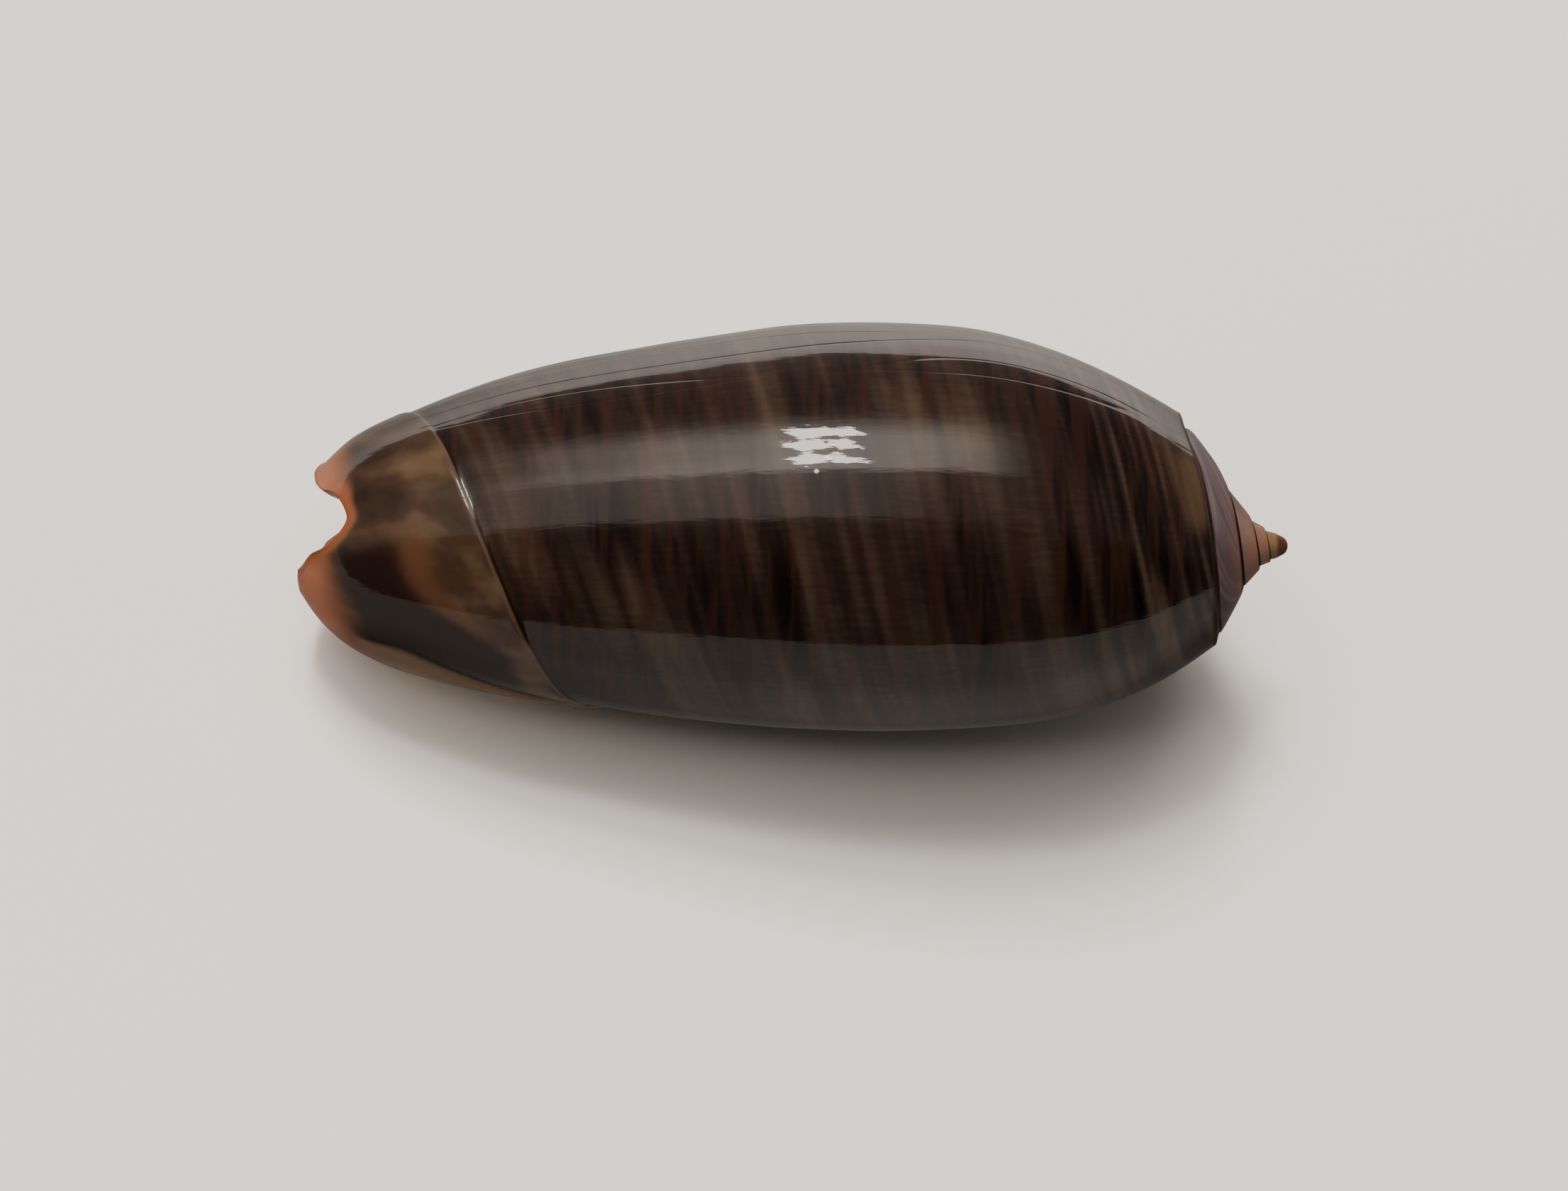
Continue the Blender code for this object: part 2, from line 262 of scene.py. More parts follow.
def outer_radius(place, turn):
    """The winding surface, led to the shoulder's rim and to the seat of the lip by
    errors that die away along the axis, e-fold in 3 mm."""
    rim_place, rim_radius = shoulder(turn)
    seat_place, seat_radius = suture(turn - 360)
    under = covered(turn)
    at_rim = rim_radius - whorl_radius(rim_place, turn)
    at_seat = seat_radius - whorl_radius(seat_place, turn)
    radius = whorl_radius(place, turn)
    radius = radius + (1 - under) * at_rim * np.exp(-np.abs(rim_place - place) / 3)
    return radius + under * at_seat * np.exp(-np.abs(seat_place - place) / 3)


def edge_place(turn):
    return through(turn, EDGE_TURNS, EDGE_PLACES)


def belt_place(turn):
    """Edge of the raised band: a straight line in the turn, or 1.5 mm inside the
    shell's edge, whichever is further in, joined by a soft maximum."""
    line = BELT_START + BELT_PITCH * (turn - LIP_SIDE_TURN) / 360
    edge = edge_place(turn) + 1.5
    return np.logaddexp(line * 1.5, edge * 1.5) / 1.5


def callus_turn(place):
    return through(place, CALLUS_PLACES, CALLUS_TURNS)


def growth_relief(place, radius, turn):
    """Low ridges parallel to the lip, that die away a third of a turn behind it.

    A sine of the distance from the lip, whose phase wanders with the place, is
    sharpened by a power; slow swells on both directions carry the whole surface.
    """
    arc = np.radians(turn - LIP_TURN) * MIDDLE_RADIUS
    wander = 0.5 * np.sin(place / 5.3 + 1.1) + 0.3 * np.sin(place / 2.1 + arc / 9)
    phase = 2 * np.pi * (arc / RIDGE_SPACING) + wander * 1.6 + 1.3 * np.sin(arc / 2.9)
    ridge = (0.5 + 0.5 * np.sin(phase)) ** 2
    near = ease(-arc, -29, -17) * ease(arc, 0.2, 1.5)
    patchy = 0.55 + 0.45 * np.sin(place / 6.1 + arc / 4.7 + 0.6)
    swell = 0.010 * np.sin(place / 1.3 + arc / 2.9) * np.sin(arc / 3.7 + place / 7.3)
    swell = swell + 0.02 * np.sin(place / 3.9 + 0.8) * np.sin(arc / 5.1 + 2.0)
    return (RIDGE_HEIGHT * ridge * near * patchy + swell) * ease(radius, 4, 8)


def columella_folds(place, turn):
    """Slanting ridges on the columella beside the aperture: a rounded sine of the
    place less the turn's climb, strongest low down and fading towards the spire."""
    slant = place - (turn - 300) * 0.055
    fold = np.maximum(np.sin(2 * np.pi * slant / FOLD_SPACING), 0) ** 1.5
    beside = ease(turn, 252, 288) * ease(-turn, -420, -350)
    along = ease(place, 5, 9) * (1 - 0.75 * ease(place, 14, 34)) * ease(-place, -46, -34)
    return FOLD_HEIGHT * fold * beside * along


def spire_rows(turn):
    """Rows from the channel's bottom, round the shoulder and on to the next seat.

    The channel has a flat bottom, then a wall that rises in a smooth step to
    the rim. On the spire the strip beyond the rim is a straight line with a
    callus on it, as high as 1 less the fourth power of the way from its middle.
    """
    low_place, low_radius = suture(turn)
    rim_place, rim_radius = shoulder(turn)
    seat_place, seat_radius = suture(turn - 360)
    climb = np.arange(CHANNEL_ROWS)[:, None] / CHANNEL_ROWS
    wall_place = low_place + (rim_place - low_place) * climb
    wall_radius = low_radius + (rim_radius - low_radius) * ease(climb, 0.2, 1.05)
    step = np.arange(STRIP_ROWS + 1)[:, None] / STRIP_ROWS
    part = 0.45 * step + 0.55 * ease(step, 0, 1)
    place = rim_place + (seat_place - rim_place) * part
    straight = rim_radius + (seat_radius - rim_radius) * part
    fade = np.exp(-np.maximum(turn - CALLUS_START, 0) / CALLUS_FADE)
    callus = CALLUS_RISE * fade * (1 - (2 * part - 1) ** 4)
    under = covered(turn)
    radius = under * (straight + callus) + (1 - under) * outer_radius(place, turn)
    radius[0] = rim_radius
    return np.vstack([wall_place, place]), np.vstack([wall_radius, radius])


def body_rows(turn):
    """Rows from the lip's seat to the shell's edge, close together at the band's
    edge, where a step with a fine raised line runs, and at the shell's edge."""
    seat_place, _ = suture(turn - 360)
    belt = belt_place(turn)
    edge = edge_place(turn) + EDGE_ROUND * ease(-turn, -150, -125)
    start = seat_place - 1.2 * np.arange(1, LIP_ROWS + 1)[:, None] / LIP_ROWS
    count = np.arange(1, BODY_ROWS + 1)[:, None] / BODY_ROWS
    body = start[-1] + (belt - start[-1]) * (1 - (1 - count) ** 1.3)
    step = np.arange(1, BAND_ROWS + 1)[:, None] / BAND_ROWS
    band = belt + (edge - belt) * (0.35 * step + 0.65 * ease(step, 0, 1))
    place = np.vstack([start, body, band])
    past = belt - place
    open_part = ease(-turn, -330, -290)
    away = ease(seat_place - place, 0, 6)
    raised = BELT_STEP * (ease(past, -0.25, 0.55) - 0.5 * away)
    raised = raised + BELT_LINE * np.exp(-(((past - 0.35) / 0.2) ** 2))
    short = np.clip((callus_turn(place) - turn) / 16, -0.3, 9)
    groove = ease(short, -0.3, 0) * np.exp(-short) * ease(-place, -34, -22)
    groove = groove * ease(place, 4.5, 8)
    radius = outer_radius(place, turn) + raised * open_part - GROOVE_DEPTH * groove
    radius = radius + growth_relief(place, radius, turn) * open_part * away
    return place, radius + columella_folds(place, turn)


class Surface:
    """Points and faces of one closed surface, with values kept at each face corner."""

    def __init__(self):
        self.points = []
        self.count = 0
        self.faces = []
        self.values = []

    def add(self, place, radius, turn):
        place, radius, turn = np.broadcast_arrays(place, radius, turn)
        self.points.append(np.stack([place, radius, turn], -1).reshape(-1, 3))
        self.count += place.size
        return self.count - place.size + np.arange(place.size).reshape(place.shape)

    def sheet(self, ids, values, outward=True):
        """Four-sided faces over a grid of points; outward turns their front."""
        corners = [
            (slice(None, -1), slice(None, -1)),
            (slice(1, None), slice(None, -1)),
            (slice(1, None), slice(1, None)),
            (slice(None, -1), slice(1, None)),
        ]
        if not outward:
            corners.reverse()
        faces = np.stack([ids[c] for c in corners], -1).reshape(-1, 4)
        kept = np.stack([values[c] for c in corners], -2).reshape(-1, 4, VALUES)
        whole = faces[:, 0] != faces[:, 3]
        self.faces.extend(faces[whole].tolist())
        self.values.append(kept[whole].reshape(-1, VALUES))

    def patch(self, faces, values):
        """Faces given one by one, with one set of values for all their corners, or
        one for each corner."""
        self.faces.extend(faces)
        self.values.append(np.broadcast_to(values, (sum(map(len, faces)), VALUES)))

    def all_points(self):
        return np.vstack(self.points)


def tints(place, turn):
    """Weights from 0 to 1 of the colours at the notch end and beside the rim.

    Chocolate fills the room between the warm edge and the orange streak, a bell
    curve about a line that climbs with the turn. The warm edge is as wide as a
    curve of the turn says, amber in the notch, and gold lies beside the rim.
    """
    streak_line = through(turn, STREAK_TURNS, STREAK_PLACES)
    shown = ease(turn, 98, 114) * ease(-turn, -153, -138)
    streak = np.exp(-(((place - streak_line) / 1.1) ** 2)) * shown
    in_from_edge = place - edge_place(turn)
    width = through(turn, WARM_TURNS, WARM_WIDTHS)
    warm = 1 - ease(in_from_edge / width, 0.25, 1.15)
    chocolate = ease(in_from_edge / width, 0.7, 1.35)
    chocolate = chocolate * ease(streak_line - place, 0.1, 1.5)
    chocolate = chocolate * ease(turn, 99, 118) * ease(-turn, -185, -160)
    upper = np.exp(-(((place - 5.6) / 1.9) ** 2) - ((turn - 65) / 15) ** 2)
    chocolate = np.maximum(chocolate, 0.75 * upper)
    amber = ease(turn, 66, 86) * ease(-turn, -134, -114)
    below_rim = shoulder(turn)[0] - place
    gold = ease(below_rim, 0, 0.3) * ease(-below_rim, -2.6, -0.8)
    gold = gold * ease(turn, 56, 78) * ease(-turn, -114, -94)
    return chocolate, streak, warm, amber, gold


def flecks(place, turn):
    """Dark flecks drawn out along the stripes: a bell curve each, in the place
    less the stripe's climb, and in the turn."""
    dark = 0.0
    for at, start, wide, climb in FLECKS:
        across = place - at - 16 * (turn - start) / 360
        dark = np.maximum(
            dark, np.exp(-((across / wide) ** 2) - ((turn - start) / climb) ** 2)
        )
    return dark


def values_at(place, radius, turn, inside=0.0, spire=0.0):
    """The values kept at each corner, three to an attribute.

    Growth is the way from a line that climbs beside the rim to the band's edge,
    the whorls of turn, and the place. Marks are the mm past the band's edge, past
    the callus groove and below the rim. Kind is the inner face, the spire, and the
    way across a strip on the spire. Tint and warm are the colour weights, the last
    of them the dark flecks.
    """
    place, radius, turn = np.broadcast_arrays(place, radius, turn)
    belt = belt_place(turn)
    crest = CREST_PLACE + CREST_PITCH * (turn - 110) / 360
    seat_place, _ = suture(turn - 360)
    below_rim = shoulder(turn)[0] - place
    chocolate, streak, warm, amber, gold = tints(place, turn)
    part = below_rim / (below_rim + place - seat_place)
    across = np.where(spire > 0, part, 0)
    return np.stack(
        [
            (crest - place) / (crest - belt),
            turn / 360,
            place,
            belt - place,
            np.radians(turn - callus_turn(place)) * radius,
            below_rim,
            inside + 0 * place,
            spire + 0 * place,
            across,
            chocolate,
            streak,
            gold,
            warm,
            amber,
            flecks(place, turn),
        ],
        -1,
    )


def bridge(one, two):
    """Triangles between two rows of points of different counts, stepping along
    whichever row is behind."""
    faces = []
    i = 0
    j = 0
    while i < len(one) - 1 or j < len(two) - 1:
        behind = (i + 1) * (len(two) - 1) <= (j + 1) * (len(one) - 1)
        if j == len(two) - 1 or (behind and i < len(one) - 1):
            faces.append([one[i + 1], one[i], two[j]])
            i += 1
        else:
            faces.append([two[j + 1], one[i], two[j]])
            j += 1
    return [f for f in faces if len(set(f)) == 3]


def dome(loop, rings, centre):
    """Faces from a closed loop of points through smaller rings to one point."""
    faces = []
    for ring in rings:
        pairs = zip(loop, np.roll(loop, -1), ring, np.roll(ring, -1))
        faces.extend([a, b, d, c] for a, b, c, d in pairs)
        loop = ring
    faces.extend([a, b, centre] for a, b in zip(loop, np.roll(loop, -1)))
    return faces


def grow_shell():
    """The whole closed surface.

    The last whorl is a grid over one turn. The spire's strips go on from it,
    each row ending on the first row of the whorl after it. Under the lip the
    grid goes on as the inner wall, the lip's own inner face lies a shell's
    thickness inside the outer one, and a rounded band joins the two.
    """
    surface = Surface()
    seat = CHANNEL_ROWS + STRIP_ROWS
    lip_inside = seat + LIP_ROWS
    last = lip_inside + BODY_ROWS + BAND_ROWS
    deep = round(COLUMNS * CAVITY_TURN / 360)
    total = COLUMNS * (SPIRE_WHORLS + 1)
    turns = LIP_TURN + 360 * np.arange(total + 1) / COLUMNS
    spire_place, spire_radius = spire_rows(turns)
    body_place, body_radius = body_rows(turns[: COLUMNS + deep + 1])

    whorl = slice(0, COLUMNS + 1)
    outer_place = np.vstack([spire_place[:, whorl], body_place[:, whorl]])
    outer_r = np.vstack([spire_radius[:, whorl], body_radius[:, whorl]])
    outer = surface.add(outer_place, outer_r, turns[whorl])
    outer[seat, COLUMNS] = outer[0, 0]
    outer_values = values_at(outer_place, outer_r, turns[whorl])
    surface.sheet(outer, outer_values)

    spire = np.zeros((seat + 1, total + 1), int)
    spire[:, whorl] = outer[: seat + 1]
    early = slice(COLUMNS + 1, total + 1)
    spire[:-1, early] = surface.add(
        spire_place[:-1, early], spire_radius[:-1, early], turns[early]
    )
    spire[-1, COLUMNS:] = spire[0, : total + 1 - COLUMNS]
    on_spire = slice(COLUMNS, total + 1)
    strip_place = spire_place[:, on_spire]
    strip_radius = spire_radius[:, on_spire]
    strip_values = values_at(strip_place, strip_radius, turns[on_spire], 0, 1)
    surface.sheet(spire[:, on_spire], strip_values)

    under = slice(COLUMNS, COLUMNS + deep + 1)
    wall_place = body_place[LIP_ROWS - 1 :, under]
    wall_r = body_radius[LIP_ROWS - 1 :, under]
    wall = np.zeros(wall_place.shape, int)
    wall[:, 0] = outer[lip_inside:, COLUMNS]
    wall[:, 1:] = surface.add(
        wall_place[:, 1:], wall_r[:, 1:], turns[COLUMNS + 1 : COLUMNS + deep + 1]
    )
    surface.sheet(wall, values_at(wall_place, wall_r, turns[under]))

    mouth = slice(0, deep + 1)
    slope_place = np.gradient(outer_place[:, mouth], axis=0)
    slope_r = np.gradient(outer_r[:, mouth], axis=0)
    length = np.hypot(slope_place, slope_r)
    in_place = outer_place[:, mouth] - SHELL_THICKNESS * slope_r / length
    in_r = outer_r[:, mouth] + SHELL_THICKNESS * slope_place / length
    free = np.clip(np.arange(last + 1) / (lip_inside + 8), 0, 1)[:, None] ** 1.5
    in_place = wall_place[0] + (in_place - wall_place[0]) * free
    in_r = wall_r[0] + (in_r - wall_r[0]) * free
    floor = outer_radius(in_place, turns[mouth] + 360)
    close = 1 - 0.9 * ease(turns[mouth], 80, 150) * ease(-in_place, -30, -8)
    in_r = np.maximum(floor + (in_r - floor) * close, floor + 0.3 * free)
    inner = surface.add(in_place, in_r, turns[mouth])
    inner[0] = wall[0]
    inner_values = values_at(in_place, in_r, turns[mouth], 1)
    surface.sheet(inner, inner_values, outward=False)

    outer_path = np.concatenate([outer[:, 0], outer[-1, 1 : deep + 1]])
    inner_path = np.concatenate([inner[:, 0], inner[-1, 1 : deep + 1]])
    path_values = np.concatenate([outer_values[:, 0], outer_values[-1, 1 : deep + 1]])
    every = surface.all_points()
    one = every[outer_path]
    two = every[inner_path]
    along = np.arange(len(outer_path))
    on_lip = ease(-along, -last - 20, -last + 20)
    on_edge = ease(along, last - 26, last + 14)
    rows = [outer_path]
    for k in range(1, LIP_ROWS):
        part = k / LIP_ROWS
        swell = np.sqrt(1 - (2 * part - 1) ** 2) * EDGE_ROUND
        part = (1 - np.cos(np.pi * part)) / 2
        row = one * (1 - part) + two * part
        row[:, 2] -= on_lip * np.degrees(swell / row[:, 1])
        row[:, 0] -= on_edge * swell
        ids = surface.add(row[:, 0], row[:, 1], row[:, 2])
        ids[0] = outer[seat + k, COLUMNS]
        rows.append(ids)
    rows.append(inner_path)
    band_values = np.repeat(path_values[None], LIP_ROWS + 1, 0)
    band_values[:, :, INSIDE] = np.arange(LIP_ROWS + 1)[:, None] / LIP_ROWS
    surface.sheet(np.stack(rows), band_values)

    blind_values = inner_values[last // 2, deep]
    surface.patch(bridge(list(inner[:, deep]), list(wall[:, deep])), blind_values)

    ends = [ids[-1] for ids in reversed(rows[1:-1])]
    foot = np.concatenate([outer[last, deep:], wall[-1, 1:], [inner[last, deep]], ends])
    every = surface.all_points()
    rest = every[foot]
    flat = rest[:, 1] * np.stack(
        [np.cos(np.radians(rest[:, 2])), np.sin(np.radians(rest[:, 2]))]
    )
    centre = flat.mean(1)
    middle_place = rest[:, 0].mean() - 0.8

    def foot_ring(part, place):
        spot = centre[:, None] + (flat - centre[:, None]) * part
        turn = np.degrees(np.arctan2(spot[1], spot[0]))
        here = rest[:, 0] * part + place * (1 - part)
        return surface.add(here, np.hypot(*spot), turn)

    tip = foot_ring(0.0, middle_place)[:1]
    rings = [foot_ring(p, middle_place - 0.8) for p in (0.93, 0.84, 0.7, 0.5, 0.25)]
    foot_values = values_at(middle_place, 1.0, turns[COLUMNS + deep])
    faces = dome(foot, rings, tip[0])
    surface.patch([f[::-1] for f in faces if len(set(f)) == len(f)], foot_values)

    crown = np.concatenate([spire[0, total - COLUMNS :], spire[1:-1, total]])
    crown_turn = surface.all_points()[crown, 2]
    rings = [surface.add(LENGTH - drop, radius, crown_turn) for radius, drop in TIP_SHAPE]
    top = surface.add(LENGTH, 0.0, 0.0)
    faces = dome(crown, rings, int(top))
    at_place, at_radius, _ = surface.all_points()[np.concatenate(faces)].T
    crown_values = values_at(at_place, at_radius, turns[total], 0, 1)
    crown_values[:, BELOW_RIM] = 1.0
    surface.patch(faces, crown_values)
    return surface


def laid(place, across, up):
    """From the shell's own axes to where it rests, in metres: rolled about its
    length, pitched about its width, then moved to the frame's origin."""
    across, up = (
        across * np.cos(REST_ROLL) - up * np.sin(REST_ROLL),
        across * np.sin(REST_ROLL) + up * np.cos(REST_ROLL),
    )
    place, up = (
        place * np.cos(REST_PITCH) - up * np.sin(REST_PITCH),
        place * np.sin(REST_PITCH) + up * np.cos(REST_PITCH),
    )
    return (np.stack([place, across, up], -1) - REST_SHIFT) * MM


def make_shell():
    surface = grow_shell()
    place, radius, turn = surface.all_points().T
    angle = np.radians(turn)
    spots = laid(place, radius * np.cos(angle), radius * np.sin(angle))
    low = np.array(frame_box[0])
    high = np.array(frame_box[1])
    spots = np.clip(spots, low, high)
    used = np.zeros(len(spots), bool)
    used[np.concatenate([np.array(f) for f in surface.faces])] = True
    order = np.cumsum(used) - 1
    mesh = bpy.data.meshes.new("shell")
    faces = [order[f].tolist() for f in surface.faces]
    mesh.from_pydata(spots[used].tolist(), [], faces)
    values = np.concatenate(surface.values)
    for k, name in enumerate(("growth", "marks", "kind", "tint", "warm")):
        kept = mesh.attributes.new(name, "FLOAT_VECTOR", "CORNER")
        kept.data.foreach_set("vector", values[:, 3 * k : 3 * k + 3].ravel())
    mesh.polygons.foreach_set("use_smooth", np.ones(len(faces), bool))
    shell = bpy.data.objects.new("olive_shell", mesh)
    bpy.context.scene.collection.objects.link(shell)
    return shell


def colour(code):
    """sRGB hex to linear: the power 2.4 of the raised value above the toe."""
    value = np.array([int(code[i : i + 2], 16) / 255 for i in (1, 3, 5)])
    linear = np.where(value <= 0.04045, value / 12.92, ((value + 0.055) / 1.055) ** 2.4)
    return (*linear.tolist(), 1.0)


def node(tree, kind, links=None, stops=None, **settings):
    """Adds one node, with its settings, its inputs' values or links, and ramp stops."""
    made = tree.nodes.new(kind)
    for name, value in settings.items():
        setattr(made, name, value)
    for key, value in (links or {}).items():
        if isinstance(value, bpy.types.NodeSocket):
            tree.links.new(value, made.inputs[key])
        else:
            made.inputs[key].default_value = value
    if stops:
        ramp = made.color_ramp
        while len(ramp.elements) < len(stops):
            ramp.elements.new(0.5)
        for element, (at, code) in zip(ramp.elements, stops):
            element.position = at
            element.color = colour(code)
    return made


def porcellaneous_shell():
    """Porcellaneous shell: aragonite in layers so fine that it shines like glaze.

    The eye sees a mirror-like skin over a deep brown that is banded along the
    growth of the whorl. Stripes are about 1 mm apart by the shoulder and 2.4 mm
    in the broad bands, and the growth lines across them run 1 to 2 mm apart. The
    coat's IOR is below the 1.5 or so of polished aragonite, matched to a gloss
    that stays weak over dark brown.
    """
    material = bpy.data.materials.new("porcellaneous_shell")
    material.use_nodes = True
    tree = material.node_tree
    growth, marks, kind, tint, warm = (
        node(tree, "ShaderNodeAttribute", attribute_name=name).outputs["Vector"]
        for name in ("growth", "marks", "kind", "tint", "warm")
    )
    parts = [
        node(tree, "ShaderNodeSeparateXYZ", {0: value}).outputs
        for value in (growth, marks, kind, tint, warm)
    ]
    along, whorls, place = parts[0]
    past_belt, past_callus, below_rim = parts[1]
    inside, spire, across = parts[2]
    chocolate, streak, gold = parts[3]
    warm_edge, amber, flecked = parts[4]

    # Noise on the growth values, stretched by how far each runs in mm.
    noises = {}
    for name, stretch, scale, detail in (
        ("lines", (48, 2.0, 0), 1.9, 0.0),
        ("fine", (48, 3.0, 0), 1.15, 1.0),
        ("broad", (48, 8.0, 0), 0.45, 1.0),
        ("patch", (48, 60, 0), 0.12, 2.0),
        ("hue", (48, 40, 9), 0.17, 2.0),
        ("cloud", (30, 60, 0.5), 0.3, 3.0),
        ("hair", (7, 88, 0.12), 3.0, 2.0),
        ("rests", (2.5, 88, 0.05), 0.5, 0.0),
    ):
        spot = node(
            tree,
            "ShaderNodeVectorMath",
            {0: growth, 1: stretch},
            operation="MULTIPLY",
        ).outputs[0]
        noises[name] = node(
            tree,
            "ShaderNodeTexNoise",
            {"Vector": spot, "Scale": scale, "Detail": detail, "Roughness": 0.45},
        ).outputs["Fac"]

    # How far the pale speck is, in mm along the whorl and the axis.
    spot = node(
        tree,
        "ShaderNodeVectorMath",
        {0: growth, 1: (0.0, SPECK_WHORL, 1.0)},
        operation="MULTIPLY",
    ).outputs[0]
    nearby = node(
        tree,
        "ShaderNodeVectorMath",
        {0: spot, 1: (0.0, SPECK_ROUND, SPECK_PLACE)},
        operation="DISTANCE",
    ).outputs["Value"]

    # Smooth steps of a value from one amount to another.
    masks = {}
    for name, value, low, high, first, last in (
        ("crisp", along, 0.3, 0.08, 0.0, 1.1),
        ("red", noises["hue"], 0.46, 0.66, 0.0, 0.55),
        ("band", past_belt, 0.0, 0.15, 0.0, 1.0),
        ("line_low", past_belt, 0.12, 0.22, 0.0, 0.75),
        ("line_high", past_belt, 0.42, 0.3, 0.0, 1.0),
        # belt shade: painted shade, a dark line on the body just beside the raised band's
        # edge
        ("belt_shade_low", past_belt, -0.25, -0.05, 0.0, 0.8),
        ("belt_shade_high", past_belt, 0.12, 0.02, 0.0, 1.0),
        ("callus", past_callus, 0.0, 0.7, 0.0, 1.0),
        # callus shade: painted shade, a dark line along the step into the callus groove
        ("callus_shade_low", past_callus, -0.7, -0.2, 0.0, 0.9),
        ("callus_shade_high", past_callus, 0.35, 0.05, 0.0, 1.0),
        ("clear_of_edge", place, 3.5, 5.5, 0.0, 1.0),
        ("channel", below_rim, 0.06, -0.05, 0.0, 1.0),
        ("rim", below_rim, 0.35, 0.1, 0.0, 1.0),
        ("by_seat", across, 0.1, 0.6, 0.0, 1.0),
        ("high", place, 65.2, 67.4, 0.0, 1.0),
        ("ring", place, 68.2, 68.6, 0.0, 0.85),
        ("tip", place, 69.0, 69.35, 0.0, 1.0),
        ("within", inside, 0.25, 0.9, 0.0, 1.0),
        ("deep", past_callus, 1.5, 11.0, 0.0, 1.0),
        ("by_lip", whorls, 0.2, 0.13, 0.0, 1.0),
        ("gold", gold, 0.1, 1.0, 0.0, 0.45),
        ("speck", nearby, 0.2, 0.11, 0.0, 1.0),
        ("fibres", noises["lines"], 0.4, 0.75, 0.0, 0.4),
        ("groove_low", noises["rests"], 0.465, 0.5, 0.0, 1.0),
        ("groove_high", noises["rests"], 0.535, 0.5, 0.0, 1.0),
    ):
        masks[name] = node(
            tree,
            "ShaderNodeMapRange",
            {0: value, 1: low, 2: high, 3: first, 4: last},
            interpolation_type="SMOOTHSTEP",
        ).outputs[0]
    for name, one, other in (
        ("ridge", "line_low", "line_high"),
        ("under", "belt_shade_low", "belt_shade_high"),
        ("callus", "callus", "clear_of_edge"),
        ("fold", "callus_shade_low", "callus_shade_high"),
        ("fold", "fold", "clear_of_edge"),
        ("groove", "groove_low", "groove_high"),
        ("groove", "groove", "by_lip"),
    ):
        masks[name] = node(
            tree,
            "ShaderNodeMath",
            {0: masks[one], 1: masks[other]},
            operation="MULTIPLY",
        ).outputs[0]
    glow = node(
        tree, "ShaderNodeMath", {0: warm_edge, 1: amber}, operation="MULTIPLY"
    ).outputs[0]
    fleck = node(
        tree,
        "ShaderNodeMath",
        {0: flecked, 1: -0.5, 2: 0.5},
        operation="MULTIPLY_ADD",
    ).outputs[0]

    # Stripes are crisp by the shoulder and soft over the middle of the whorl.
    tone = fleck
    for name, gain in (
        ("lines", masks["crisp"]),
        ("fine", 0.48),
        ("broad", 0.6),
        ("patch", 0.9),
        ("hair", 0.2),
    ):
        about = node(
            tree, "ShaderNodeMath", {0: noises[name], 1: 0.5}, operation="SUBTRACT"
        ).outputs[0]
        tone = node(
            tree, "ShaderNodeMath", {0: about, 1: gain, 2: tone}, operation="MULTIPLY_ADD"
        ).outputs[0]
    hue = node(
        tree,
        "ShaderNodeValToRGB",
        {0: tone},
        (
            (0.1, "#0b0707"),
            (0.35, "#18100e"),
            (0.5, "#241a16"),
            (0.66, "#342921"),
            (0.95, "#44382d"),
        ),
    ).outputs[0]
    blotch = node(
        tree,
        "ShaderNodeMath",
        {0: noises["cloud"], 1: 1.6, 2: -0.3},
        operation="MULTIPLY_ADD",
    ).outputs[0]
    band = node(
        tree,
        "ShaderNodeValToRGB",
        {0: blotch},
        ((0.2, "#241813"), (0.5, "#392a20"), (0.8, "#584635")),
    ).outputs[0]

    # Each layer of colour lies over those before it.
    cap = colour("#604642")
    for mask, over in (
        (masks["by_seat"], colour("#4d3f44")),
        (masks["fibres"], colour("#7d6a6d")),
        (masks["high"], colour("#74564a")),
        (masks["ring"], colour("#69563c")),
        (masks["tip"], colour("#4a2d23")),
        (masks["channel"], colour("#200f0d")),
    ):
        cap = node(
            tree, "ShaderNodeMix", {0: mask, 6: cap, 7: over}, data_type="RGBA"
        ).outputs[2]
    for mask, over in (
        (masks["red"], colour("#2f1b15")),
        (masks["gold"], colour("#584836")),
        (masks["band"], band),
        # Painted shade: dark on the body under the raised band's edge, where the step
        # shades it.
        (masks["under"], colour("#150b08")),
        (masks["ridge"], colour("#4e4032")),
        (chocolate, colour("#1f120f")),
        (streak, colour("#4e3324")),
        (masks["callus"], colour("#614a35")),
        # Painted shade: the dark line where the surface drops into the callus groove.
        (masks["fold"], colour("#170c09")),
        (masks["deep"], colour("#d9c4b0")),
        (warm_edge, colour("#925e48")),
        (glow, colour("#744329")),
        (spire, cap),
        (masks["speck"], colour("#cfc0a6")),
        (masks["within"], colour("#b3a5a6")),
    ):
        hue = node(
            tree, "ShaderNodeMix", {0: mask, 6: hue, 7: over}, data_type="RGBA"
        ).outputs[2]

    # The polish is thinner on the spire, the band and the warm edge, and the channel
    # and its rim have almost none.
    polish = 1.0
    for mask, loss in (
        (spire, -0.5),
        (masks["band"], -0.15),
        (warm_edge, -0.4),
        (masks["rim"], -0.8),
    ):
        polish = node(
            tree,
            "ShaderNodeMath",
            {0: mask, 1: loss, 2: polish},
            operation="MULTIPLY_ADD",
            use_clamp=True,
        ).outputs[0]

